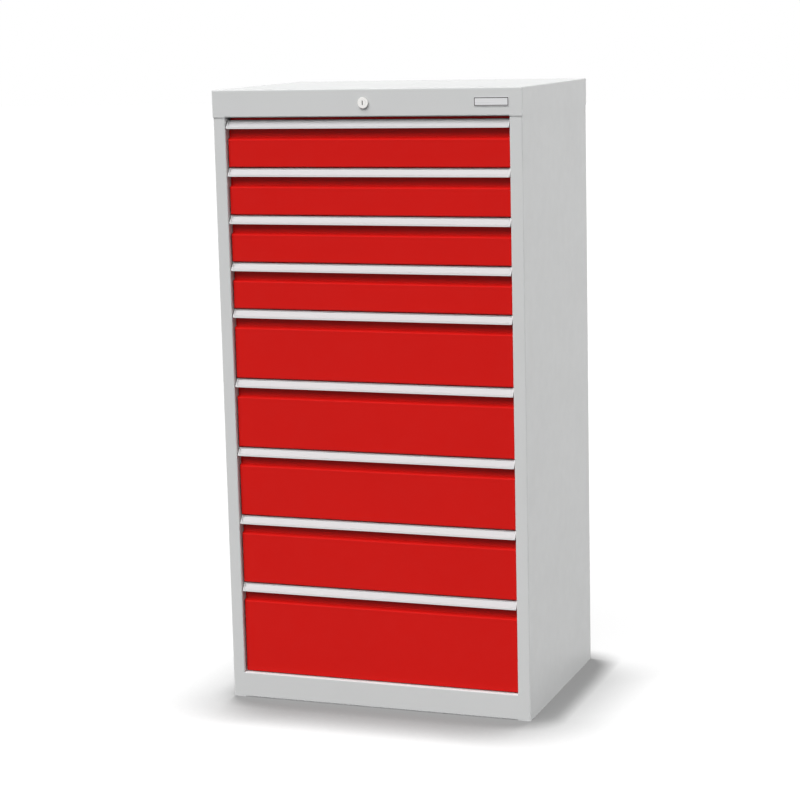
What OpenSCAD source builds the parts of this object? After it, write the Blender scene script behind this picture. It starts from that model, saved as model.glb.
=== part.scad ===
// Floor-standing workshop cabinet: a folded sheet housing, a stack of drawers on telescopic slides
// and one central lock that lifts a locking bar behind all the drawers.
// Sizes are in millimetres. The origin is the middle of the footprint on the floor, +Z is up and
// the drawers open towards -Y. Depths are counted back from the front plane of the stiles.

/* [Housing] */
// Width across the side panels
body_w = 678; // [560:1:900]
// Depth from the front of the stiles to the outer face of the back panel
body_d = 481; // [420:1:700]
// Thickness of the housing's sheet
sheet = 1.25; // [1:0.05:2]
// Height of the plinth, which is the floor of the drawer space
plinth_h = 55.5; // [40:0.5:120]
// Width of each front stile
stile_w = 27; // [24:0.5:40]
// Depth of the fold that returns behind each stile
stile_return = 27; // [15:0.5:40]
// Width of the folds along the edges of the panels
edge_fold = 15; // [8:0.5:20]
// Width of the flange that stands on the floor
floor_flange = 24; // [15:1:40]
// Inner radius of the housing's bends
bend_r = 1.25; // [0.5:0.05:2]
// Clearance where folded edges pass each other
weld_gap = 0.2; // [0.1:0.05:0.5]
// Lap of the features of one piece into each other where they are welded
weld_lap = 0.3; // [0.2:0.05:0.4]

/* [Top cover] */
// Height of the apron round the cover
cover_h = 57.5; // [48:0.5:90]
// Thickness of the cover's sheet, which is also its overhang
cover_sheet = 1.5; // [1:0.1:2.5]
// Depth of the hem along the lower edge of the front apron
cover_hem = 12; // [6:0.5:20]
// Gap between the apron and the top of the first grip
top_gap = 6; // [3:0.5:12]

/* [Drawer fronts] */
// Height of one front unit
module_h = 50; // [50:1:75]
// Front heights in units, from the top down
front_units = [2, 2, 2, 2, 3, 3, 3, 3, 4]; // [2:1:8]
// Gap between a front and the grip of the drawer below it
front_gap = 1.5; // [1:0.5:4]
// Gap between a front and the stiles
side_gap = 1.5; // [0.8:0.1:3]
// Set-back of the fronts behind the stiles
front_recess = 8; // [4:0.5:11]
// Depth of the finger channel behind the stiles
finger_recess = 17.5; // [15:0.5:19]
// Height of the finger channel below the top of the grip
finger_drop = 36.5; // [27:0.5:38]
// Height of the slope from the finger channel to the face
finger_slope = 4; // [3:0.5:15]
// Outer radius of the bend from that slope to the face
finger_bend_r = 3; // [2:0.5:7]
// Depth of the whole front, back to the tray
front_d = 22; // [21:0.5:30]
// Thickness of the front's sheet
front_sheet = 1; // [0.8:0.1:1.5]
// Inner radius of the front's bends
front_bend_r = 1.5; // [0.5:0.1:2.5]
// Width of the flange behind the front that is fixed to the tray
front_fold = 20; // [17:0.5:30]

/* [Grips] */
// Height of a grip from its nose to its top
grip_h = 17.5; // [16:0.5:22]
// Set-back of the grip's top edge
grip_top_d = 11; // [8:0.5:12]
// Height of the upright nose at the lower edge
nose_h = 2; // [1:0.5:3]
// Wall of the grip's web, flange and nose
grip_wall = 1.8; // [1.4:0.1:2.2]
// Thickness of the slanted plate that carries the label
plate_t = 2.6; // [2.3:0.1:3]
// Thickness of the lips that hold the label
label_lip_t = 0.6; // [0.4:0.1:0.8]
// Thickness of the label's channel under the lips
label_t = 0.8; // [0.6:0.1:1]
// Solid edge of the plate above and below the label channel
label_edge = 1.4; // [1:0.1:2]
// Reach of the lips over the label
label_lip = 0.9; // [0.5:0.1:1.5]
// Inner radius of the grip's bends
grip_r = 0.4; // [0.2:0.1:0.5]
// Thickness of each end cap
cap_t = 3; // [2:0.5:5]

/* [Trays] */
// Thickness of the tray's sheet
tray_sheet = 1; // [0.8:0.1:1.5]
// Height of the tray's floor above the bottom of its front unit
tray_lift = 5; // [4:0.5:8]
// Drop of the tray's rim below the top of its front
tray_drop = 14; // [10:0.5:20]
// Inner radius of the tray's bends
tray_bend_r = 1; // [0.5:0.1:2]
// Width of the rim that is folded outwards
rim_w = 6; // [4:0.5:7]
// Space behind the trays for the locking bar
lock_space = 40; // [38:1:60]

/* [Slides] */
// Height of the cabinet member of a slide
slide_h = 45; // [40:1:50]
// Thickness of a whole slide between upright and tray
slide_t = 12.7; // [12.2:0.1:15]
// Depth of the cabinet member's channel
rail_d = 10; // [9.8:0.1:11]
// Thickness of the slide members
gauge = 1.5; // [1.2:0.1:1.6]
// Inner radius of the bends of slides and uprights
gauge_bend_r = 0.5; // [0.2:0.1:0.8]
// Height of the lips that keep one member in the next
race_lip = 4; // [3.5:0.1:4.5]
// Running gap between the members of a slide
run_gap = 0.3; // [0.2:0.05:0.4]
// Height of a slide's middle above the tray's floor
slide_lift = 30; // [28:0.5:36]
// Clearance of the middle member inside the stile's return
pass_gap = 0.8; // [0.5:0.1:1.5]
// Distance from the front of a tray to the front of its slides
slide_start = 10; // [8:0.5:20]
// Distance from the back of a tray to the back of its slides
slide_end = 8; // [4:0.5:20]

/* [Uprights] */
// Width of each slotted upright
upright_w = 40; // [30:1:50]
// Thickness of the uprights
upright_t = 1.5; // [1.2:0.1:2]
// Distance from the stile's return to the front uprights
upright_front = 8; // [6:0.5:20]
// Distance from the back end of the slides to the rear uprights
upright_rear = 30; // [10:1:60]
// Distance from the top of the uprights to the cover
upright_top = 18; // [10:1:40]
// Width of each slot
slot_w = 12; // [10:0.5:16]
// Height of each slot
slot_h = 11; // [9:0.5:14]
// Height of a rail's hook inside its slot
hook_h = 6; // [5:0.5:8]
// Drop of the hook behind the upright
hook_drop = 4; // [3:0.5:6]
// Clearance round a hook in its slot
hook_gap = 0.2; // [0.1:0.05:0.4]

/* [Lock] */
// Diameter of the lock's flange
lock_flange_d = 23; // [21.5:0.5:28]
// Height of the flange in front of the apron
lock_proud = 5; // [3:0.5:8]
// Chamfer round the flange
lock_chamfer = 1; // [0.5:0.1:1.5]
// Diameter of the lock's barrel
barrel_d = 19; // [18:0.5:20]
// Length of the barrel behind the apron's front face
barrel_l = 26; // [20:1:40]
// Diameter of the plug
plug_d = 14; // [12.5:0.5:15]
// Height of the plug in front of the flange
plug_proud = 0.6; // [0.3:0.1:1.5]
// Thickness of the collar behind the barrel
collar_t = 3; // [2:0.5:5]
// Width of the key slot
key_slot_w = 2.2; // [1.6:0.1:2.6]
// Height of the key slot
key_slot_h = 9; // [7:0.5:10]
// Depth of the key slot
key_slot_d = 10; // [6:0.5:14]
// Width of the nut across its flats
nut_w = 24; // [23:0.5:30]
// Thickness of the nut
nut_t = 4; // [3:0.5:8]
// Diameter of the shaft to the rear
shaft_d = 8; // [6:0.5:9]
// Depth of the shaft's socket in the plug
socket_l = 9; // [5:0.5:12]
// Radial clearance of turning parts
turn_gap = 0.1; // [0.05:0.01:0.15]
// Radius from the shaft to the crank's pin
crank_r = 12; // [11:0.5:14]
// Thickness of the crank
crank_t = 5; // [4:0.5:6]
// Width of the crank's arm
crank_w = 14; // [11:0.5:16]
// Radius of the crank's corners
crank_round = 5; // [2:0.5:5]
// Diameter of the crank's pin
pin_d = 6; // [5:0.5:7]
// Clearance between the crank and the locking bar
crank_gap = 1; // [0.5:0.1:1.5]
// Thickness of the hanger's plate
hanger_t = 3; // [2:0.5:4]
// Width of the hanger
hanger_w = 36; // [26:1:60]
// Length of the hanger's flange under the cover
hanger_l = 24; // [15:1:40]
// Reach of the hanger below the shaft's middle
hanger_drop = 14; // [8:0.5:20]

/* [Locking bar] */
// Width of the bar
bar_w = 30; // [24:1:36]
// Thickness of the bar
bar_t = 3; // [2:0.5:4]
// Distance from the bar to the back panel
bar_stand = 14; // [12:0.5:15]
// Height of the bar's foot above the floor of the drawer space
bar_foot = 14; // [5:1:20]
// Length of the bar above the middle of its slot
bar_head = 10; // [8:0.5:12]
// Play of the pin in the height of its slot
slot_play = 0.7; // [0.5:0.1:1]
// Clearance of the pin at the ends of its slot
slot_end_gap = 1; // [0.5:0.1:2]
// Width of a hook on the bar
bar_hook_w = 16; // [12:1:20]
// Thickness of the hooks and catches
hook_t = 2.5; // [2:0.1:3]
// Height of a hook's lip
hook_lip = 14; // [13.5:0.1:15]
// Gap from a hook's lip to the catch before it is lifted
lift_gap = 4.5; // [4:0.1:5.5]
// Play between a hook and a catch that is locked
hook_play = 3; // [2:0.5:4]
// Reach of a tray's catch behind the tray
catch_d = 16; // [14:0.5:17]
// Height of a catch's lip
catch_h = 16; // [15:0.1:18]
// Width of a catch
catch_w = 20; // [14:1:30]
// Height of a catch's lower edge above the tray's floor
catch_lift = 40; // [35:1:45]
// Height of each guide of the bar
guide_h = 20; // [14:1:24]
// Height of a guide above the tray's floor beside it
guide_lift = 68; // [64:1:70]
// Sheet thickness of the guides
guide_t = 2; // [1.5:0.1:2.5]
// Inner radius of the guides' bends
guide_bend_r = 0.2; // [0.1:0.05:0.25]
// Width of a guide's feet on the back panel
guide_foot = 12; // [8:1:20]
// Running gap of the bar in its guides
guide_gap = 0.3; // [0.2:0.05:0.5]

/* [Badge] */
// Width of the badge plate
badge_w = 74; // [50:1:110]
// Height of the badge plate
badge_h = 18.5; // [12:0.5:30]
// Thickness of the badge plate
badge_t = 0.8; // [0.5:0.1:1.5]
// Width of the raised rim round the badge
badge_rim = 0.8; // [0.5:0.1:1.5]
// Height of the raised rim
badge_rim_t = 0.4; // [0.2:0.1:0.6]
// Radius of the badge's corners
badge_r = 1.2; // [1:0.1:2]

/* [Hidden] */
$fn = 64;
// Overshoot of cuts past the faces that they open
cut = 1;
grey = [0.78, 0.79, 0.79];
red = [0.79, 0.11, 0.10];
silver = [0.88, 0.87, 0.88];
zinc = [0.68, 0.70, 0.72];

// Heights and widths of the housing
function units_from(k) = k < len(front_units) ? front_units[k] + units_from(k + 1) : 0;
function base_z(k) = plinth_h + module_h * units_from(k + 1);
function top_z(k) = plinth_h + module_h * units_from(k);
function front_height(k) = top_z(k) - base_z(k);
function depth(d) = d - body_d / 2;
last = len(front_units) - 1;
half_w = body_w / 2;
inner_half = half_w - sheet;
open_half = half_w - stile_w;
cover_z = top_z(0) + top_gap;
overall_h = cover_z + cover_h;
roof_z = overall_h - cover_sheet;
back_d = body_d - sheet;
corner_d = stile_return + weld_gap;

// Places of the drawers and slides
front_half = open_half - side_gap;
slide_face = open_half - pass_gap + gauge + run_gap;
tray_half = slide_face - slide_t;
tray_back = back_d - lock_space;
slide_d = front_d + slide_start;
slide_l = tray_back - slide_end - slide_d;
mid_half_h = slide_h / 2 - gauge - run_gap;
mid_d0 = gauge + run_gap;
mid_d1 = rail_d - gauge - run_gap;
foot_half_h = mid_half_h - gauge - run_gap;
foot_d0 = mid_d0 + gauge + run_gap;
neck_half_h = mid_half_h - race_lip - run_gap;
function tray_z(k) = base_z(k) + tray_lift;
function slide_z(k) = tray_z(k) + slide_lift;

// Places of the lock and the locking bar
lock_z = cover_z + cover_h / 2;
nut_sides = 6;
apron_d = -cover_sheet;
barrel_end = apron_d + barrel_l;
plug_front = apron_d - lock_proud - plug_proud;
plug_back = barrel_end + run_gap + collar_t;
crank_rest = 45;
pin_x = -crank_r * cos(crank_rest);
pin_z = lock_z - crank_r * sin(crank_rest);
pin_sweep = crank_r + pin_x;
bar_x = pin_x - pin_sweep / 2;
bar_d = back_d - bar_stand - bar_t;
crank_d = bar_d - crank_gap - crank_t;
hanger_d = crank_d - crank_gap - hanger_t;
catch_end = tray_back + catch_d;
hook_d = catch_end - hook_t - hook_play - hook_t;
guide_every = 4;
guided = [for (k = [0 : last]) if (k % guide_every == 0) k];
function catch_z(k) = tray_z(k) + catch_lift;

// Outlines with bends: a fillet at one corner, an open path of bent sheet and a closed outline
bend_steps = 4;
bend_facet = 1.2;
function unit(v) = v / norm(v);
function left(v) = [-v[1], v[0]];
function turned(v, a) = [v[0] * cos(a) - v[1] * sin(a), v[0] * sin(a) + v[1] * cos(a)];
function fillet(corner, from, to, r) =
  let(
    a = atan2(cross(from, to), from * to),
    start = corner - from * r * tan(abs(a) / 2),
    centre = start + sign(a) * r * left(from),
    steps = max(bend_steps, ceil(PI * r * abs(a) / 180 / bend_facet))
  )
  [for (i = [0 : steps]) centre + turned(start - centre, a * i / steps)];

// One face of a bent sheet: the path itself, or the face a thickness to its left
function face(path, offset, sheet_t, inner_r) =
  let(
    n = len(path) - 1,
    ways = [for (i = [1 : n]) unit(path[i] - path[i - 1])],
    bends = [
      for (i = [1 : n - 1])
        let(
          from = ways[i - 1],
          to = ways[i],
          corner = path[i] + offset * (left(from) + left(to)) / (1 + from * to),
          outside = (cross(from, to) > 0) == (offset == 0)
        )
        each fillet(corner, from, to, outside ? inner_r + sheet_t : inner_r)
    ]
  )
  concat([path[0] + offset * left(ways[0])], bends, [path[n] + offset * left(ways[n - 1])]);
function reversed(points) = [for (i = [len(points) - 1 : -1 : 0]) points[i]];
function folded(path, sheet_t, inner_r) =
  concat(face(path, 0, sheet_t, inner_r), reversed(face(path, sheet_t, sheet_t, inner_r)));
function rounded(points, radii) =
  let(n = len(points))
  [
    for (i = [0 : n - 1])
      let(
        from = unit(points[i] - points[(i + n - 1) % n]),
        to = unit(points[(i + 1) % n] - points[i])
      )
      each radii[i] > 0 ? fillet(points[i], from, to, radii[i]) : [points[i]]
  ];

// A box between two corners
module block(low, high) {
  translate(low)
    cube(high - low);
}

// The same shape on the right and on the left
module both_sides() {
  for (side = [0, 1])
    mirror([side, 0, 0])
      children();
}

// A section of depth and height, drawn out over the width from one x to another
module across(x0, x1) {
  translate([x0, depth(0), 0])
    rotate([90, 0, 90])
      linear_extrude(x1 - x0)
        children();
}

// A section of width and height, drawn out over the depth
module along_depth(d, length) {
  translate([0, depth(d + length), 0])
    rotate([90, 0, 0])
      linear_extrude(length)
        children();
}

// A section of width and depth, drawn out over the height
module upwards(z0, z1) {
  translate([0, depth(0), z0])
    linear_extrude(z1 - z0)
      children();
}

// A round bar along the lock's axis between two depths
module spindle(diameter, d0, d1) {
  translate([0, depth(d0), lock_z])
    rotate([-90, 0, 0])
      cylinder(d = diameter, h = d1 - d0);
}

// A lipped channel of a slide, open towards the tray
module channel(d0, d1, half_h) {
  lip_z = half_h - race_lip;
  polygon(folded(
    [[d1, lip_z], [d1, half_h], [d0, half_h], [d0, -half_h], [d1, -half_h], [d1, -lip_z]],
    gauge, gauge_bend_r
  ));
}

// The drawer member: a hat whose feet are held behind the lips of the middle member
module hat() {
  foot_d1 = foot_d0 + gauge;
  crown = slide_t + weld_lap;
  polygon(folded(
    [
      [foot_d1, -foot_half_h],
      [foot_d1, -neck_half_h],
      [crown, -neck_half_h],
      [crown, neck_half_h],
      [foot_d1, neck_half_h],
      [foot_d1, foot_half_h],
    ],
    gauge, gauge_bend_r
  ));
}

// A slide member on both sides of a drawer, from its section
module slide_pair(k) {
  both_sides()
    along_depth(slide_d, slide_l)
      translate([slide_face, slide_z(k)])
        mirror([1, 0])
          children();
}

// Side panel, folded into its stile and the return behind it, with a fold under the cover. Beside
// the plinth the stile's edge is square, where the two are welded flush
module side_panel() {
  upwards(0, roof_z)
    polygon(folded(
      [[open_half, stile_return], [open_half, 0], [half_w, 0], [half_w, body_d]],
      sheet, bend_r
    ));
  block([open_half, depth(0), 0], [open_half + bend_r + sheet, depth(sheet), plinth_h]);
  block(
    [inner_half - edge_fold, depth(corner_d), roof_z - sheet],
    [half_w, depth(back_d - weld_gap), roof_z]
  );
}

module left_side_panel() {
  color(grey)
    mirror([1, 0, 0])
      side_panel();
}

module right_side_panel() {
  color(grey)
    side_panel();
}

// Back panel, folded forward along the side panels between the base pan and the cover
module back_panel() {
  fold_d = back_d - edge_fold;
  fold_z0 = plinth_h + weld_gap;
  fold_z1 = roof_z - sheet - weld_gap;
  color(grey) {
    upwards(fold_z0, fold_z1)
      polygon(folded(
        [[inner_half, fold_d], [inner_half, body_d], [-inner_half, body_d], [-inner_half, fold_d]],
        sheet, bend_r
      ));
    block([-inner_half, depth(back_d), 0], [inner_half, depth(body_d), fold_z0 + weld_lap]);
    block([-inner_half, depth(back_d), fold_z1 - weld_lap], [inner_half, depth(body_d), roof_z]);
  }
}

// Base pan: the floor of the drawer space, folded down to the plinth front and flanged on the floor
module base_pan() {
  color(grey) {
    across(-open_half, open_half)
      polygon(folded(
        [[corner_d + weld_lap, plinth_h], [0, plinth_h], [0, 0], [floor_flange, 0]],
        sheet, bend_r
      ));
    difference() {
      block([-inner_half, depth(corner_d), 0], [inner_half, depth(back_d), plinth_h]);
      block(
        [sheet - inner_half, depth(corner_d - cut), sheet],
        [inner_half - sheet, depth(back_d - sheet), plinth_h - sheet]
      );
      block(
        [floor_flange - inner_half, depth(corner_d - cut), -cut],
        [inner_half - floor_flange, depth(back_d - floor_flange), sheet + cut]
      );
    }
  }
}

// A block under the cover's skin: its top and upright edges are rounded, its lower edges are sharp
module cover_block(grow, low, high, r) {
  side = half_w + grow;
  front = -grow;
  rear = body_d + grow;
  intersection() {
    across(-side, side)
      polygon(rounded([[front, low], [rear, low], [rear, high], [front, high]], [0, 0, r, r]));
    along_depth(front, rear - front)
      polygon(rounded([[-side, low], [side, low], [side, high], [-side, high]], [0, 0, r, r]));
    upwards(low, high)
      polygon(rounded([[-side, front], [side, front], [side, rear], [-side, rear]], [r, r, r, r]));
  }
}

// Top cover: a folded lid over the housing, hemmed along the front, with the hole for the lock
module top_cover() {
  hem_half = open_half - weld_gap;
  hem_top = cover_z + cover_sheet + 2 * bend_r;
  color(grey) {
    difference() {
      cover_block(cover_sheet, cover_z, overall_h, bend_r + cover_sheet);
      cover_block(0, cover_z - cut, roof_z, 0);
      block([-hem_half, depth(apron_d - cut), cover_z - cut], [hem_half, depth(cut), hem_top]);
      spindle(barrel_d + 2 * turn_gap, apron_d - cut, cut);
    }
    across(-hem_half, hem_half)
      polygon(folded(
        [[apron_d, hem_top + weld_lap], [apron_d, cover_z], [cover_hem, cover_z]],
        cover_sheet, bend_r
      ));
  }
}

// Slotted uprights: four channels that stand on the base pan against the side panels
module uprights() {
  first_slot = slide_z(last) - plinth_h;
  upright_h = roof_z - upright_top - plinth_h;
  slot_pitch = module_h / 2;
  reach = inner_half - slide_face;
  rear_d = slide_d + slide_l - upright_rear - upright_w;
  color(zinc)
    both_sides()
      for (d = [corner_d + upright_front, rear_d])
        translate([slide_face, depth(d), plinth_h])
          difference() {
            linear_extrude(upright_h)
              polygon(folded(
                [[reach, upright_w], [0, upright_w], [0, 0], [reach, 0]],
                upright_t, gauge_bend_r
              ));
            for (z = [first_slot : slot_pitch : upright_h - slot_h])
              translate([-cut, (upright_w - slot_w) / 2, z - hook_gap])
                cube([upright_t + 2 * cut, slot_w, slot_h]);
          }
}

// Hook of a cabinet rail: it passes a slot of the upright and drops behind it
module rail_hook() {
  width = slot_w - 2 * hook_gap;
  reach = upright_t + hook_gap + gauge;
  translate([0, -width / 2, 0]) {
    translate([-gauge, 0, 0])
      cube([gauge + reach, width, hook_h]);
    translate([reach - gauge, 0, -hook_drop])
      cube([gauge, width, hook_h + hook_drop]);
  }
}

// Cabinet members of all the slides, hooked into the uprights
module cabinet_rails() {
  front_hook = corner_d + upright_front + upright_w / 2;
  rear_hook = slide_d + slide_l - upright_rear - upright_w / 2;
  color(zinc)
    for (k = [0 : last]) {
      slide_pair(k)
        channel(0, rail_d, slide_h / 2);
      both_sides()
        for (d = [front_hook, rear_hook])
          translate([slide_face, depth(d), slide_z(k)])
            rail_hook();
    }
}

// Lock housing: a flanged barrel through the apron
module lock_housing() {
  flange_r = lock_flange_d / 2;
  bore_r = plug_d / 2 + turn_gap;
  color(silver)
    translate([0, depth(apron_d - lock_proud), lock_z])
      rotate([-90, 0, 0])
        rotate_extrude()
          polygon([
            [bore_r, 0],
            [flange_r - lock_chamfer, 0],
            [flange_r, lock_chamfer],
            [flange_r, lock_proud],
            [barrel_d / 2, lock_proud],
            [barrel_d / 2, lock_proud + barrel_l],
            [bore_r, lock_proud + barrel_l],
          ]);
}

// Nut that clamps the lock against the inside of the apron
module lock_nut() {
  color(zinc)
    difference() {
      translate([0, depth(0), lock_z])
        rotate([-90, 0, 0])
          cylinder(d = nut_w / cos(180 / nut_sides), h = nut_t, $fn = nut_sides);
      spindle(barrel_d + 2 * turn_gap, -cut, nut_t + cut);
    }
}

// Plug with its key slot, the collar behind the barrel and the socket of the shaft
module lock_plug() {
  color(silver)
    difference() {
      union() {
        spindle(plug_d, plug_front, plug_back);
        spindle(barrel_d, barrel_end + run_gap, plug_back);
      }
      spindle(shaft_d + 2 * turn_gap, plug_back - socket_l, plug_back + cut);
      block(
        [-key_slot_w / 2, depth(plug_front - cut), lock_z - key_slot_h / 2],
        [key_slot_w / 2, depth(plug_front + key_slot_d), lock_z + key_slot_h / 2]
      );
    }
}

// Shaft from the plug to the rear, with the crank and the pin that lifts the bar
module lock_shaft() {
  pin_back = bar_d + bar_t + crank_gap;
  end = crank_w / 2;
  color(zinc) {
    spindle(shaft_d, plug_back - socket_l + turn_gap, crank_d + crank_t / 2);
    translate([pin_x, 0, pin_z - lock_z])
      spindle(pin_d, crank_d + crank_t / 2, pin_back);
    translate([0, depth(crank_d + crank_t), lock_z])
      rotate([90, -crank_rest, 0])
        linear_extrude(crank_t)
          polygon(rounded(
            [[-crank_r - end, -end], [end, -end], [end, end], [-crank_r - end, end]],
            [crank_round, crank_round, crank_round, crank_round]
          ));
  }
}

// Hanger under the cover that carries the rear end of the shaft
module shaft_hanger() {
  rear = hanger_d + hanger_t;
  color(zinc)
    difference() {
      across(-hanger_w / 2, hanger_w / 2)
        polygon(folded(
          [[rear, lock_z - hanger_drop], [rear, roof_z], [hanger_d - hanger_l, roof_z]],
          hanger_t, bend_r
        ));
      spindle(shaft_d + 2 * turn_gap, hanger_d - cut, rear + cut);
    }
}

// Locking bar: a flat bar with one hook for each drawer and the crank pin's slot at its head
module locking_bar() {
  slot_half = (pin_sweep + pin_d) / 2 + slot_end_gap;
  color(zinc) {
    difference() {
      block(
        [bar_x - bar_w / 2, depth(bar_d), plinth_h + bar_foot],
        [bar_x + bar_w / 2, depth(bar_d + bar_t), pin_z + bar_head]
      );
      block(
        [bar_x - slot_half, depth(bar_d - cut), pin_z - pin_d / 2 - slot_play],
        [bar_x + slot_half, depth(bar_d + bar_t + cut), pin_z + pin_d / 2 + slot_play]
      );
    }
    for (k = [0 : last])
      bar_hook(catch_z(k) - lift_gap);
  }
}

// Hook of the locking bar, with its lip ending at the given height
module bar_hook(lip_z) {
  floor_z = lip_z - hook_lip - hook_t;
  across(bar_x - bar_hook_w / 2, bar_x + bar_hook_w / 2)
    polygon(folded(
      [[hook_d, lip_z], [hook_d, floor_z], [bar_d + weld_lap, floor_z]],
      hook_t, bend_r
    ));
}

// Guides of the locking bar on the back panel
module bar_guides() {
  color(zinc)
    for (k = guided)
      bar_guide(tray_z(k) + guide_lift);
}

// One guide: a hat folded round the bar, with feet on the back panel and a strap behind the bar
module bar_guide(z) {
  inner = bar_w / 2 + guide_gap;
  outer = inner + guide_t;
  front = bar_d - guide_gap - guide_t;
  rear = bar_d + bar_t + guide_gap;
  foot_d = back_d - guide_t;
  strap = inner + weld_lap;
  translate([bar_x, 0, 0]) {
    upwards(z, z + guide_h)
      polygon(folded(
        [
          [-outer - guide_foot, foot_d],
          [-outer, foot_d],
          [-outer, front],
          [outer, front],
          [outer, foot_d],
          [outer + guide_foot, foot_d],
        ],
        guide_t, guide_bend_r
      ));
    block([-strap, depth(rear), z], [strap, depth(rear + guide_t), z + guide_h]);
  }
}

// Badge plate with a raised rim, bare, in line with the right edge of the opening
module badge_plate() {
  color(silver)
    translate([open_half - badge_w / 2, depth(apron_d), lock_z])
      rotate([90, 0, 0])
        difference() {
          badge_blank(0, badge_t + badge_rim_t);
          translate([0, 0, badge_t])
            badge_blank(badge_rim, badge_rim_t + cut);
        }
}

// A plate with round corners, smaller than the badge by an inset
module badge_blank(inset, thickness) {
  width = badge_w - 2 * inset;
  height = badge_h - 2 * inset;
  r = badge_r - inset;
  linear_extrude(thickness) {
    square([width - 2 * r, height], center = true);
    square([width, height - 2 * r], center = true);
    for (x = [-1, 1], y = [-1, 1])
      translate([x * (width / 2 - r), y * (height / 2 - r)])
        circle(r);
  }
}

// The block of a front inside a skin that is inset from its outer faces: a stepped section, with
// rounded bends where the face turns back to the sides
module front_block(k, inset, convex_r, concave_r) {
  bottom = front_gap - front_height(k) + inset;
  half = front_half - inset;
  face_d = front_recess + inset;
  finger_d = finger_recess + inset;
  rear_d = front_d - inset;
  slope = atan2(finger_recess - front_recess, finger_slope);
  bend_z = -finger_drop - inset * tan(slope / 2);
  translate([0, 0, top_z(k)])
    intersection() {
      across(-half, half)
        polygon(rounded(
          [
            [rear_d, bottom],
            [face_d, bottom],
            [face_d, bend_z - finger_slope],
            [finger_d, bend_z],
            [finger_d, -inset],
            [rear_d, -inset],
          ],
          [0, convex_r, finger_bend_r - inset, concave_r, convex_r, 0]
        ));
      upwards(bottom, -inset)
        polygon(rounded(
          [[half, rear_d], [-half, rear_d], [-half, face_d], [half, face_d]],
          [0, 0, convex_r, convex_r]
        ));
    }
}

// Red front: a folded pan, stepped back to the finger channel under its grip, with a flange
// all round its back that lies on the tray
module drawer_front(k) {
  outer_r = front_bend_r + front_sheet;
  fold_z0 = base_z(k) + front_gap + front_fold;
  fold_z1 = top_z(k) - front_fold;
  color(red)
    difference() {
      front_block(k, 0, outer_r, front_bend_r);
      front_block(k, front_sheet, front_bend_r, outer_r);
      block(
        [front_fold - front_half, depth(front_d - front_sheet - cut), fold_z0],
        [front_half - front_fold, depth(front_d + cut), fold_z1]
      );
    }
}

// Outline of a grip's outer faces: the flange on the front, the top, the slant and the upright nose
function grip_line() = [
  [finger_recess, nose_h - grip_h],
  [finger_recess, 0],
  [grip_top_d, 0],
  [0, nose_h - grip_h],
  [0, -grip_h],
];

// Grip section: one wall along the outline, thicker on the slant, where it holds the label channel
module grip_section() {
  slant_h = grip_h - nose_h;
  slant_l = norm([grip_top_d, slant_h]);
  mouth = label_edge + label_lip;
  tilt = -atan2(grip_top_d, slant_h);
  difference() {
    union() {
      polygon(folded(grip_line(), grip_wall, grip_r));
      translate([0, -slant_h])
        rotate(tilt)
          translate([0, label_edge])
            square([plate_t, slant_l - 2 * label_edge]);
    }
    translate([0, -slant_h])
      rotate(tilt) {
        translate([label_lip_t, label_edge])
          square([label_t, slant_l - 2 * label_edge]);
        translate([-cut, mouth])
          square([cut + label_lip_t + label_t / 2, slant_l - 2 * mouth]);
      }
  }
}

// Grip profile between its end caps
module drawer_grip(k) {
  length = front_half - cap_t;
  color(silver)
    translate([0, 0, top_z(k)])
      across(-length, length)
        grip_section();
}

// End caps that close the grip on both sides
module drawer_grip_caps(k) {
  edge_r = grip_r + grip_wall;
  line = grip_line();
  color(silver)
    translate([0, 0, top_z(k)])
      both_sides()
        across(front_half - cap_t, front_half)
          polygon(rounded(
            concat([[finger_recess, -grip_h]], [for (i = [1 : len(line) - 1]) line[i]]),
            [0, edge_r, edge_r, edge_r, 0]
          ));
}

// Tray: a floor and sides folded from one sheet, with rims, a front wall and a back wall, the drawer
// members of its slides and the catch at the back
module drawer_tray(k) {
  low = tray_z(k);
  high = top_z(k) - tray_drop;
  rim_z = high - tray_sheet;
  inside = tray_half - tray_sheet + weld_lap;
  foot = low + tray_sheet - weld_lap;
  color(grey) {
    along_depth(front_d, tray_back - front_d)
      polygon(folded(
        [
          [-tray_half - rim_w, rim_z],
          [-tray_half, rim_z],
          [-tray_half, low],
          [tray_half, low],
          [tray_half, rim_z],
          [tray_half + rim_w, rim_z],
        ],
        tray_sheet, tray_bend_r
      ));
    across(-inside, inside) {
      translate([front_d, foot])
        square([tray_sheet, high - foot]);
      polygon(folded(
        [[tray_back, foot], [tray_back, rim_z], [tray_back + rim_w, rim_z]],
        tray_sheet, tray_bend_r
      ));
    }
    slide_pair(k)
      hat();
    tray_catch(catch_z(k));
  }
}

// Catch on the back of a tray: a plate with a lip that hangs behind the bar's hook
module tray_catch(lip_z) {
  plate_z = lip_z + catch_h + hook_t;
  across(bar_x - catch_w / 2, bar_x + catch_w / 2)
    polygon(folded(
      [[catch_end, lip_z], [catch_end, plate_z], [tray_back - weld_lap, plate_z]],
      hook_t, bend_r
    ));
}

// Middle members of a drawer's two slides
module drawer_mid_rails(k) {
  color(zinc)
    slide_pair(k)
      channel(mid_d0, mid_d1, mid_half_h);
}

HOUSING_NODES = [
  "left_side_panel", "right_side_panel", "back_panel", "base_pan", "top_cover", "uprights",
  "cabinet_rails", "lock_housing", "lock_nut", "lock_plug", "lock_shaft", "shaft_hanger",
  "locking_bar", "bar_guides", "badge_plate",
];
DRAWER_PIECES = ["tray", "front", "grip", "grip_caps", "mid_rails"];
function drawer_node(k, piece) = str("drawer_", k + 1, "_", piece);

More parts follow.
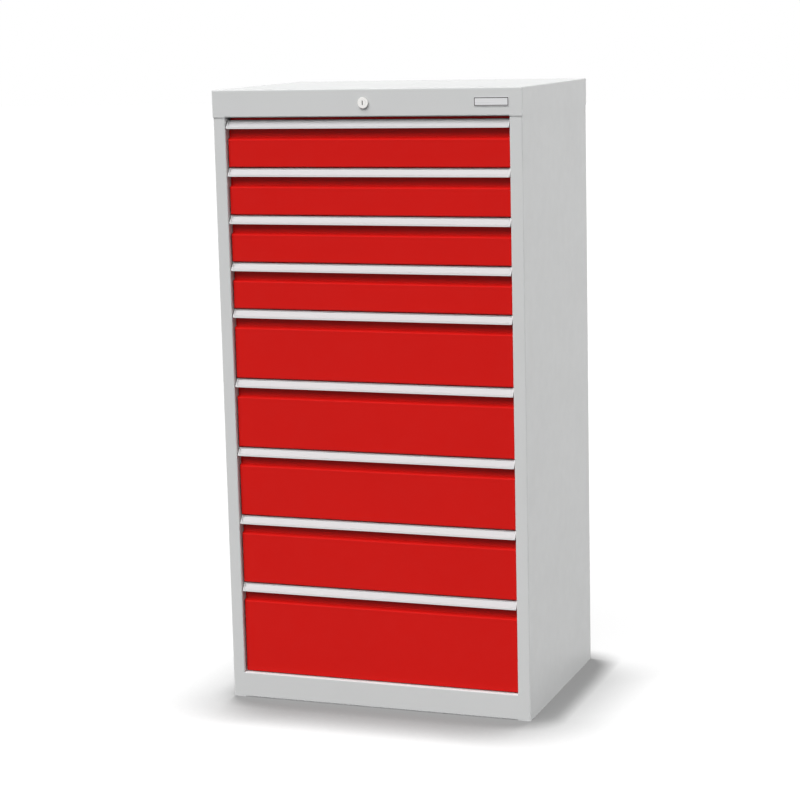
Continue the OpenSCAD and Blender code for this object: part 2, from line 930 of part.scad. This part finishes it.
left_side_panel();
right_side_panel();
back_panel();
base_pan();
top_cover();
uprights();
cabinet_rails();
lock_housing();
lock_nut();
lock_plug();
lock_shaft();
shaft_hanger();
locking_bar();
bar_guides();
badge_plate();
for (k = [0 : last]) {
  drawer_tray(k);
  drawer_front(k);
  drawer_grip(k);
  drawer_grip_caps(k);
  drawer_mid_rails(k);
}
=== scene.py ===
"""A workshop drawer cabinet in grey and red sheet steel, dressed for the studio around its fixed frame."""
import math

import bmesh
import bpy
from mathutils import Matrix, Vector


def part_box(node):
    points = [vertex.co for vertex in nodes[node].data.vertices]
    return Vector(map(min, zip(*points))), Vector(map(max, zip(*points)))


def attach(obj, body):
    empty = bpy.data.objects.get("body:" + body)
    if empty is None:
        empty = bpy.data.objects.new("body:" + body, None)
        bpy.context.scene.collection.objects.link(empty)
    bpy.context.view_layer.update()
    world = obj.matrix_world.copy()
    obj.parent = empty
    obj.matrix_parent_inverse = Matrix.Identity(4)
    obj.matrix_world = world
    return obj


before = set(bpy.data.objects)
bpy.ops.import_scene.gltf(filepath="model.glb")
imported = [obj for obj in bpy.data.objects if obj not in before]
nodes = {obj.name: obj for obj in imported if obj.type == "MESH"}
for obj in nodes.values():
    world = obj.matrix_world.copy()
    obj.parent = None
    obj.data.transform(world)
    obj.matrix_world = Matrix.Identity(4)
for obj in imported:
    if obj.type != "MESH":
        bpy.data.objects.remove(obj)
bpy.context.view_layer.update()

# Camera: a long lens a little above the cabinet's top, in front and to the right of it.
# It is rolled a touch, as the camera of the photograph was.
CAMERA_PLACE = Vector((1.655, -4.583, 1.472))
CAMERA_AIM = Vector((0.0644, -0.2405, 0.6738))
CAMERA_LENS = 101.2
CAMERA_ROLL = math.radians(-1.36)

camera_data = bpy.data.cameras.new("camera")
camera_data.lens = CAMERA_LENS
camera = bpy.data.objects.new("camera", camera_data)
camera.location = CAMERA_PLACE
camera_turn = (CAMERA_AIM - CAMERA_PLACE).to_track_quat("-Z", "Y").to_matrix()
camera.rotation_euler = (camera_turn @ Matrix.Rotation(CAMERA_ROLL, 3, "Z")).to_euler()
bpy.context.collection.objects.link(camera)
bpy.context.scene.camera = camera
bpy.context.scene.view_settings.view_transform = "Standard"

# Studio: a pale paper floor that runs into a white tent, lit from the upper left, the right and the back.
# Floor and tent look white; the tent lights the object from near the horizon only.
# The paper's white glow is dimmed where the cabinet shelters it, a painted shadow that reaches further out
# in front than at the sides.
WHITE = (1, 1, 1, 1)
HORIZON_LEVEL = 0.36
SKY_LEVEL = 0.0
HORIZON_RISE = math.sin(math.radians(8))
SKY_RISE = math.sin(math.radians(40))
FLOOR_SIDE = 60.0
FLOOR_BOUNCE = (0.09, 0.09, 0.09, 1)
FLOOR_GLOW = 0.95
FLOOR_ROUGHNESS = 0.9
FRONT_SHADOW_REACH = 0.2
FRONT_SHADOW_LEAN = Vector((-1.2, 5, 1)).normalized()
SIDE_SHADOW_REACH = 0.075
SIDE_SHADOW_LEAN = Vector((-0.6, 0, 1)).normalized()
SHADOW_FALL = 1.8
SHADOW_LEVEL = 0.25
KEY_FROM = Vector((-0.2363, -0.5847, 0.776))
KEY_SPREAD = math.radians(50)
KEY_STRENGTH = 4.42
SIDE_FROM = Vector((0.95, 0.3, 0.08))
SIDE_SPREAD = math.radians(60)
SIDE_STRENGTH = 3.42
BACK_FROM = Vector((-0.4, 0.9, 0.02))
BACK_SPREAD = math.radians(50)
BACK_STRENGTH = 1.4


def reckoned(tree, operation, first, second):
    """The result of a sum on two values, each a node's output or a number."""
    step = tree.nodes.new("ShaderNodeMath")
    step.operation = operation
    for socket, value in zip(step.inputs, (first, second)):
        if isinstance(value, bpy.types.NodeSocket):
            tree.links.new(value, socket)
        else:
            socket.default_value = value
    return step.outputs["Value"]


def seen_directly(tree):
    """1 for what the camera, a gloss or a clear piece sees, and 0 for light on its way to a surface."""
    path = tree.nodes.new("ShaderNodeLightPath")
    camera_or_gloss = reckoned(tree, "MAXIMUM", path.outputs["Is Camera Ray"], path.outputs["Is Glossy Ray"])
    return reckoned(tree, "MAXIMUM", camera_or_gloss, path.outputs["Is Transmission Ray"])


def open_air(tree, reach, lean):
    """How open the floor is within a reach, towards the side that it leans to: 1 in the open, 0 shut in."""
    shelter = tree.nodes.new("ShaderNodeAmbientOcclusion")
    shelter.inputs["Distance"].default_value = reach
    towards = tree.nodes.new("ShaderNodeCombineXYZ")
    towards.inputs["X"].default_value = lean.x
    towards.inputs["Y"].default_value = lean.y
    towards.inputs["Z"].default_value = lean.z
    tree.links.new(towards.outputs["Vector"], shelter.inputs["Normal"])
    return shelter.outputs["AO"]


def sun_lamp(name, from_way, spread, strength):
    """A far lamp that shines from one direction, as wide as its spread; gloss shows the tent instead."""
    lamp_data = bpy.data.lights.new(name, "SUN")
    lamp_data.angle = spread
    lamp_data.energy = strength
    lamp = bpy.data.objects.new(name, lamp_data)
    lamp.visible_glossy = False
    lamp.rotation_euler = (-from_way).to_track_quat("-Z", "Y").to_euler()
    bpy.context.collection.objects.link(lamp)


def new_finish(name):
    """A new material, its node tree and its shader."""
    material = bpy.data.materials.new(name)
    material.use_nodes = True
    return material, material.node_tree, material.node_tree.nodes["Principled BSDF"]


def new_piece(name, mesh, finish):
    """An object at the origin from a finished mesh, in one finish."""
    data = bpy.data.meshes.new(name)
    mesh.to_mesh(data)
    mesh.free()
    data.materials.append(finish)
    piece = bpy.data.objects.new(name, data)
    bpy.context.collection.objects.link(piece)
    return piece


tent = bpy.data.worlds.new("tent")
bpy.context.scene.world = tent
tent.use_nodes = True
tree = tent.node_tree
tent_light = tree.nodes["Background"]
tent_light.inputs["Color"].default_value = WHITE
way = tree.nodes.new("ShaderNodeTexCoord")
way_parts = tree.nodes.new("ShaderNodeSeparateXYZ")
tree.links.new(way.outputs["Generated"], way_parts.inputs["Vector"])
fade = tree.nodes.new("ShaderNodeMapRange")
fade.interpolation_type = "SMOOTHSTEP"
fade.inputs["From Min"].default_value = HORIZON_RISE
fade.inputs["From Max"].default_value = SKY_RISE
fade.inputs["To Min"].default_value = HORIZON_LEVEL
fade.inputs["To Max"].default_value = SKY_LEVEL
tree.links.new(way_parts.outputs["Z"], fade.inputs["Value"])
tree.links.new(fade.outputs["Result"], tent_light.inputs["Strength"])
tent_look = tree.nodes.new("ShaderNodeBackground")
tent_look.inputs["Color"].default_value = WHITE
tent_look.inputs["Strength"].default_value = 1
either = tree.nodes.new("ShaderNodeMixShader")
tree.links.new(seen_directly(tree), either.inputs["Fac"])
tree.links.new(tent_light.outputs["Background"], either.inputs[1])
tree.links.new(tent_look.outputs["Background"], either.inputs[2])
tree.links.new(either.outputs["Shader"], tree.nodes["World Output"].inputs["Surface"])

paper, tree, shader = new_finish("floor_paper")
shader.inputs["Base Color"].default_value = FLOOR_BOUNCE
shader.inputs["Roughness"].default_value = FLOOR_ROUGHNESS
shader.inputs["Specular IOR Level"].default_value = 0
shader.inputs["Emission Color"].default_value = WHITE
open_in_front = open_air(tree, FRONT_SHADOW_REACH, FRONT_SHADOW_LEAN)
open_at_sides = open_air(tree, SIDE_SHADOW_REACH, SIDE_SHADOW_LEAN)
openness = reckoned(tree, "MULTIPLY", open_in_front, open_at_sides)
# Painted shadow: the floor's glow is dimmed by how shut in the cabinet leaves it.
shade = reckoned(tree, "MAXIMUM", reckoned(tree, "POWER", openness, SHADOW_FALL), SHADOW_LEVEL)
glow = reckoned(tree, "MULTIPLY", seen_directly(tree), shade)
tree.links.new(reckoned(tree, "MULTIPLY", glow, FLOOR_GLOW), shader.inputs["Emission Strength"])

plane = bmesh.new()
bmesh.ops.create_grid(plane, x_segments=1, y_segments=1, size=FLOOR_SIDE / 2)
floor = new_piece("floor", plane, paper)

sun_lamp("key_light", KEY_FROM, KEY_SPREAD, KEY_STRENGTH)
sun_lamp("side_light", SIDE_FROM, SIDE_SPREAD, SIDE_STRENGTH)
sun_lamp("back_light", BACK_FROM, BACK_SPREAD, BACK_STRENGTH)

# Housing: side panels, back, base pan and top cover, folded from steel sheet and welded.
# They are powder coated in light grey, which leaves a fine orange peel in the gloss.
MM = 0.001
HOUSING_NODES = ("left_side_panel", "right_side_panel", "back_panel", "base_pan", "top_cover")
HOUSING_GREY = (0.566, 0.572, 0.571)
COAT_GLOSS = 0.42
COAT_SHINE = 0.3
DRIFT = 0.012
DRIFT_PER_METRE = 5
CLOUD = 0.05
CLOUD_PER_METRE = 40
PEEL_PER_METRE = 650
PEEL_HEIGHT = 0.12 * MM
NOISE_LOW = 0.3
NOISE_HIGH = 0.7


def noise_over(tree, per_metre, detail=2.0, stretch=(1, 1, 1)):
    """A noise on the piece's own metres, drawn out along the axes whose stretch is small."""
    place = tree.nodes.new("ShaderNodeTexCoord")
    mapping = tree.nodes.new("ShaderNodeMapping")
    mapping.inputs["Scale"].default_value = stretch
    noise = tree.nodes.new("ShaderNodeTexNoise")
    noise.inputs["Scale"].default_value = per_metre
    noise.inputs["Detail"].default_value = detail
    tree.links.new(place.outputs["Object"], mapping.inputs["Vector"])
    tree.links.new(mapping.outputs["Vector"], noise.inputs["Vector"])
    return noise.outputs["Fac"]


def ranged(tree, value, low, high):
    """A noise value spread between a low and a high number."""
    spread = tree.nodes.new("ShaderNodeMapRange")
    spread.inputs["From Min"].default_value = NOISE_LOW
    spread.inputs["From Max"].default_value = NOISE_HIGH
    spread.inputs["To Min"].default_value = low
    spread.inputs["To Max"].default_value = high
    tree.links.new(value, spread.inputs["Value"])
    return spread.outputs["Result"]


def between(tree, value, first, second):
    """A colour between two colours, by a noise value."""
    mix = tree.nodes.new("ShaderNodeMix")
    mix.data_type = "RGBA"
    mix.inputs["A"].default_value = (*first, 1)
    mix.inputs["B"].default_value = (*second, 1)
    tree.links.new(ranged(tree, value, 0, 1), mix.inputs["Factor"])
    return mix.outputs["Result"]


def relief(tree, value, height):
    """A bump of a given height in metres, from a noise value."""
    bump = tree.nodes.new("ShaderNodeBump")
    bump.inputs["Distance"].default_value = height
    tree.links.new(value, bump.inputs["Height"])
    return bump.outputs["Normal"]


def shaded(colour, share):
    """A colour made lighter or darker by a share of itself."""
    return tuple(share * part for part in colour)


def powder_coat(name, colour, gloss=COAT_GLOSS, shine=COAT_SHINE):
    """Powder coat: a slow drift in the colour, a cloudy gloss and fine orange peel."""
    material, tree, shader = new_finish(name)
    drift = noise_over(tree, DRIFT_PER_METRE)
    tint = between(tree, drift, shaded(colour, 1 - DRIFT), shaded(colour, 1 + DRIFT))
    tree.links.new(tint, shader.inputs["Base Color"])
    cloud = noise_over(tree, CLOUD_PER_METRE)
    tree.links.new(ranged(tree, cloud, gloss - CLOUD, gloss + CLOUD), shader.inputs["Roughness"])
    shader.inputs["Specular IOR Level"].default_value = shine
    peel = noise_over(tree, PEEL_PER_METRE, detail=1)
    tree.links.new(relief(tree, peel, PEEL_HEIGHT), shader.inputs["Normal"])
    return material


def dress(node, material):
    """Puts a finish in every slot of a CAD node."""
    for slot in nodes[node].material_slots:
        slot.material = material


housing_paint = powder_coat("housing_paint", HOUSING_GREY)
for node in HOUSING_NODES:
    dress(node, housing_paint)

# Slides and uprights: cold rolled channels and slotted uprights, galvanised.
# The zinc has grown spangles a few millimetres across, each with its own grey.
DRAWERS = range(1, 10)
ZINC_NODES = ("uprights", "cabinet_rails", "lock_nut", "lock_shaft", "shaft_hanger", "locking_bar",
              "bar_guides", *(f"drawer_{k}_mid_rails" for k in DRAWERS))
ZINC_PALE = (0.66, 0.68, 0.70)
ZINC_DEEP = (0.50, 0.52, 0.54)
ZINC_GLOSS = (0.32, 0.48)
SPANGLES_PER_METRE = 140

galvanised, tree, shader = new_finish("galvanised_steel")
place = tree.nodes.new("ShaderNodeTexCoord")
spangle = tree.nodes.new("ShaderNodeTexVoronoi")
spangle.inputs["Scale"].default_value = SPANGLES_PER_METRE
tree.links.new(place.outputs["Object"], spangle.inputs["Vector"])
tint = tree.nodes.new("ShaderNodeSeparateColor")
tree.links.new(spangle.outputs["Color"], tint.inputs["Color"])
tree.links.new(between(tree, tint.outputs["Red"], ZINC_DEEP, ZINC_PALE), shader.inputs["Base Color"])
tree.links.new(ranged(tree, tint.outputs["Green"], *ZINC_GLOSS), shader.inputs["Roughness"])
shader.inputs["Metallic"].default_value = 1
for node in ZINC_NODES:
    dress(node, galvanised)

# Trays: the drawers' boxes, folded from thinner sheet and coated in the housing's grey.
# The drawer members of the slides are welded to their sides.
TRAY_GREY = (0.56, 0.566, 0.562)
TRAY_GLOSS = 0.48

tray_paint = powder_coat("tray_paint", TRAY_GREY, gloss=TRAY_GLOSS)
for k in DRAWERS:
    dress(f"drawer_{k}_tray", tray_paint)

# Fronts: folded pans, stepped back under their grips, spot welded to the trays.
# They are powder coated in a bright signal red.
FRONT_RED = (0.56, 0.0080, 0.0060)
FRONT_GLOSS = 0.4
FRONT_SHINE = 0.15

front_paint = powder_coat("front_paint", FRONT_RED, gloss=FRONT_GLOSS, shine=FRONT_SHINE)
for k in DRAWERS:
    dress(f"drawer_{k}_front", front_paint)

# Upper edge of the first front: its sheet is folded up in the gap under the apron.
# It ends just below the apron, so that the drawer can open.
EDGE_SHEET = 1 * MM
EDGE_INSET = 3 * MM
EDGE_BEFORE_BACK = 4.5 * MM
EDGE_CLEARANCE = 0.8 * MM
EDGE_ROUND = 0.4 * MM
ROUND_SEGMENTS = 3
STOOD_UP = Matrix.Rotation(math.pi / 2, 4, "X")

front_low, front_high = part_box("drawer_1_front")
edge_width = front_high.x - front_low.x - 2 * EDGE_INSET
edge_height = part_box("top_cover")[0].z - EDGE_CLEARANCE - front_high.z
fold = bmesh.new()
bmesh.ops.create_grid(fold, x_segments=1, y_segments=1, size=0.5)
bmesh.ops.scale(fold, vec=(edge_width, edge_height, 1), verts=fold.verts)
bmesh.ops.solidify(fold, geom=fold.faces[:], thickness=EDGE_SHEET)
bmesh.ops.recalc_face_normals(fold, faces=fold.faces)
upper = [edge for edge in fold.edges if all(vert.co.y > 0 for vert in edge.verts)]
bmesh.ops.bevel(fold, geom=upper, offset=EDGE_ROUND, affect="EDGES", segments=ROUND_SEGMENTS, profile=0.5,
                material=-1)
seat = Vector((0, front_high.y - EDGE_BEFORE_BACK, front_high.z + edge_height / 2))
bmesh.ops.transform(fold, matrix=Matrix.Translation(seat) @ STOOD_UP, verts=fold.verts)
upper_edge = new_piece("drawer_1_upper_edge", fold, front_paint)
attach(upper_edge, "drawer_1")

# Grips: extruded aluminium strips over the whole width of the fronts, matt anodised.
# The die leaves fine lines along the strip.
ALUMINIUM_PALE = (0.74, 0.735, 0.74)
ALUMINIUM_DEEP = (0.69, 0.685, 0.69)
ALUMINIUM_GLOSS = (0.44, 0.54)
DIE_LINES_PER_METRE = 2500
DIE_LINE_STRETCH = (0.004, 1, 1)
DIE_LINE_HEIGHT = 0.02 * MM

anodised, tree, shader = new_finish("anodised_aluminium")
die_lines = noise_over(tree, DIE_LINES_PER_METRE, detail=3, stretch=DIE_LINE_STRETCH)
tree.links.new(between(tree, die_lines, ALUMINIUM_DEEP, ALUMINIUM_PALE), shader.inputs["Base Color"])
tree.links.new(ranged(tree, die_lines, *ALUMINIUM_GLOSS), shader.inputs["Roughness"])
tree.links.new(relief(tree, die_lines, DIE_LINE_HEIGHT), shader.inputs["Normal"])
shader.inputs["Metallic"].default_value = 1
for k in DRAWERS:
    dress(f"drawer_{k}_grip", anodised)

# Grip caps: moulded plastic caps that close the ends of the grips.
# Their faces carry the fine grain of the mould.
CAP_GREY = (0.52, 0.52, 0.525)
CAP_GLOSS = (0.38, 0.5)
GRAINS_PER_METRE = 1800
GRAIN_HEIGHT = 0.05 * MM

cap_plastic, tree, shader = new_finish("cap_plastic")
grain = noise_over(tree, GRAINS_PER_METRE)
shader.inputs["Base Color"].default_value = (*CAP_GREY, 1)
tree.links.new(ranged(tree, grain, *CAP_GLOSS), shader.inputs["Roughness"])
tree.links.new(relief(tree, grain, GRAIN_HEIGHT), shader.inputs["Normal"])
for k in DRAWERS:
    dress(f"drawer_{k}_grip_caps", cap_plastic)

# Labels: strips of laminated card, pushed into the channel of each grip from its end.
# They are blank, and bow out a little between the lips that hold them.
NOSE_HEIGHT = 2 * MM
GRIP_RUN = 11 * MM
LABEL_EDGE = 1.6 * MM
LABEL_SINK = 1.3 * MM
LABEL_THICKNESS = 0.4 * MM
LABEL_BOW = 0.25 * MM
LABEL_END_GAP = 1 * MM
LABEL_FACES_ALONG = 12
LABEL_FACES_UP = 8
# The card's colour is darker than its own white: painted shade, offsetting the extra light that the slanted
# strips catch from the key lamp.
CARD_SHADED_WHITE = (0.492, 0.485, 0.492)
FIBRE_PALE = 1.03
FIBRES_PER_METRE = 900
CARD_ROUGHNESS = 0.6
FILM_WEIGHT = 0.3
FILM_ROUGHNESS = 0.12

card, tree, shader = new_finish("label_card")
fibre = noise_over(tree, FIBRES_PER_METRE, detail=4)
fibre_tint = between(tree, fibre, CARD_SHADED_WHITE, shaded(CARD_SHADED_WHITE, FIBRE_PALE))
tree.links.new(fibre_tint, shader.inputs["Base Color"])
shader.inputs["Roughness"].default_value = CARD_ROUGHNESS
shader.inputs["Coat Weight"].default_value = FILM_WEIGHT
shader.inputs["Coat Roughness"].default_value = FILM_ROUGHNESS


def label_strip(name, grip):
    """A thin bowed strip on the slant of one grip, under its lips."""
    low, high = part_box(grip)
    rise = high.z - low.z - NOSE_HEIGHT
    slant = math.hypot(GRIP_RUN, rise)
    height = slant - 2 * LABEL_EDGE
    length = high.x - low.x - 2 * LABEL_END_GAP
    lean = math.atan2(GRIP_RUN, rise)
    strip = bmesh.new()
    bmesh.ops.create_grid(strip, x_segments=LABEL_FACES_ALONG, y_segments=LABEL_FACES_UP, size=0.5)
    for vert in strip.verts:
        bow = LABEL_BOW * (1 - 4 * vert.co.y ** 2)
        vert.co = Vector((vert.co.x * length, vert.co.y * height, bow))
    bmesh.ops.solidify(strip, geom=strip.faces[:], thickness=LABEL_THICKNESS)
    bmesh.ops.recalc_face_normals(strip, faces=strip.faces)
    sunk = Matrix.Translation((0, 0, -LABEL_SINK))
    tilt = Matrix.Rotation(math.pi / 2 - lean, 4, "X")
    middle = Vector((0, low.y + GRIP_RUN / 2, low.z + NOSE_HEIGHT + rise / 2))
    bmesh.ops.transform(strip, matrix=Matrix.Translation(middle) @ tilt @ sunk, verts=strip.verts)
    return new_piece(name, strip, card)


for k in DRAWERS:
    label = label_strip(f"drawer_{k}_label", f"drawer_{k}_grip")
    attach(label, f"drawer_{k}")

# Lock: a flanged barrel with a turning plug, nickel plated and polished.
# Turning marks run round its axis, and a shutter closes the upright key slot, its dark enamel painted shade
# for the deep keyhole.
NICKEL = (0.83, 0.82, 0.80)
NICKEL_GLOSS = (0.16, 0.28)
TURNING_LINES_PER_METRE = 900
TURNING_WANDER = 1.5
# One dark enamel serves the badge's line and, in the key slot, painted shade.
ENAMEL_AND_KEYHOLE_SHADE_DARK = (0.075, 0.07, 0.07)
ENAMEL_GLOSS = (0.2, 0.3)
ENAMEL_CLOUDS_PER_METRE = 300
SHUTTER_WIDTH = 1.8 * MM
SHUTTER_HEIGHT = 8.6 * MM
SHUTTER_DEPTH = 0.8 * MM
SHUTTER_SINK = 0.5 * MM
SHUTTER_ROUND = 0.3 * MM

plug_low, plug_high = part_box("lock_plug")
centre = (plug_low + plug_high) / 2
nickel, tree, shader = new_finish("nickel_plate")
place = tree.nodes.new("ShaderNodeTexCoord")
on_axis = tree.nodes.new("ShaderNodeMapping")
on_axis.vector_type = "TEXTURE"
on_axis.inputs["Location"].default_value = (centre.x, 0, centre.z)
rings = tree.nodes.new("ShaderNodeTexWave")
rings.wave_type = "RINGS"
rings.rings_direction = "Y"
rings.inputs["Scale"].default_value = TURNING_LINES_PER_METRE
rings.inputs["Distortion"].default_value = TURNING_WANDER
tree.links.new(place.outputs["Object"], on_axis.inputs["Vector"])
tree.links.new(on_axis.outputs["Vector"], rings.inputs["Vector"])
shader.inputs["Base Color"].default_value = (*NICKEL, 1)
shader.inputs["Metallic"].default_value = 1
tree.links.new(ranged(tree, rings.outputs["Fac"], *NICKEL_GLOSS), shader.inputs["Roughness"])
for node in ("lock_housing", "lock_plug"):
    dress(node, nickel)

enamel_and_keyhole_shade, tree, shader = new_finish("badge_enamel")
shader.inputs["Base Color"].default_value = (*ENAMEL_AND_KEYHOLE_SHADE_DARK, 1)
enamel_cloud = noise_over(tree, ENAMEL_CLOUDS_PER_METRE)
tree.links.new(ranged(tree, enamel_cloud, *ENAMEL_GLOSS), shader.inputs["Roughness"])

# The shutter's dark colour is painted shade: it darkens the key slot as a deep hole in shade would look.
keyhole_shade_piece = bmesh.new()
bmesh.ops.create_cube(keyhole_shade_piece, size=1)
bmesh.ops.scale(keyhole_shade_piece, vec=(SHUTTER_WIDTH, SHUTTER_DEPTH, SHUTTER_HEIGHT), verts=keyhole_shade_piece.verts)
bmesh.ops.bevel(keyhole_shade_piece, geom=keyhole_shade_piece.edges[:], offset=SHUTTER_ROUND, affect="EDGES",
                segments=ROUND_SEGMENTS, profile=0.5, material=-1)
seat = Vector((centre.x, plug_low.y + SHUTTER_SINK + SHUTTER_DEPTH / 2, centre.z))
bmesh.ops.translate(keyhole_shade_piece, vec=seat, verts=keyhole_shade_piece.verts)
keyhole_shade_shutter = new_piece("keyhole_shade_shutter", keyhole_shade_piece, enamel_and_keyhole_shade)
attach(keyhole_shade_shutter, "lock")

# Badge: a bare plate of brushed aluminium with a raised rim, glued to the apron.
# A dark enamel line runs round it inside the rim, and lies lower than the rim.
BADGE_PALE = (0.74, 0.74, 0.75)
BADGE_DEEP = (0.62, 0.62, 0.63)
BADGE_GLOSS = (0.28, 0.45)
BRUSH_LINES_PER_METRE = 1600
BRUSH_LINE_STRETCH = (0.02, 1, 1)
BADGE_RIM = 0.8 * MM
BADGE_RIM_HEIGHT = 0.4 * MM
ENAMEL_WIDTH = 1.7 * MM
ENAMEL_HEIGHT = 0.15 * MM

badge_metal, tree, shader = new_finish("badge_metal")
brushing = noise_over(tree, BRUSH_LINES_PER_METRE, detail=3, stretch=BRUSH_LINE_STRETCH)
tree.links.new(between(tree, brushing, BADGE_DEEP, BADGE_PALE), shader.inputs["Base Color"])
tree.links.new(ranged(tree, brushing, *BADGE_GLOSS), shader.inputs["Roughness"])
shader.inputs["Metallic"].default_value = 1
dress("badge_plate", badge_metal)

badge_low, badge_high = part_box("badge_plate")
badge_centre = (badge_low + badge_high) / 2
line_width = badge_high.x - badge_low.x - 2 * BADGE_RIM
line_height = badge_high.z - badge_low.z - 2 * BADGE_RIM
line = bmesh.new()
bmesh.ops.create_grid(line, x_segments=1, y_segments=1, size=0.5)
bmesh.ops.scale(line, vec=(line_width, line_height, 1), verts=line.verts)
bmesh.ops.inset_region(line, faces=line.faces[:], thickness=ENAMEL_WIDTH, use_boundary=True,
                       use_even_offset=True)
inner = min(line.faces, key=lambda face: face.calc_center_median().length)
bmesh.ops.delete(line, geom=[inner], context="FACES_ONLY")
bmesh.ops.solidify(line, geom=line.faces[:], thickness=ENAMEL_HEIGHT)
bmesh.ops.recalc_face_normals(line, faces=line.faces)
seat = Vector((badge_centre.x, badge_low.y + BADGE_RIM_HEIGHT, badge_centre.z))
bmesh.ops.transform(line, matrix=Matrix.Translation(seat) @ STOOD_UP, verts=line.verts)
buried = min(vert.co.y for vert in line.verts) - (seat.y - ENAMEL_HEIGHT)
bmesh.ops.translate(line, vec=(0, -buried, 0), verts=line.verts)
badge_line = new_piece("badge_line", line, enamel_and_keyhole_shade)
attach(badge_line, "cabinet")
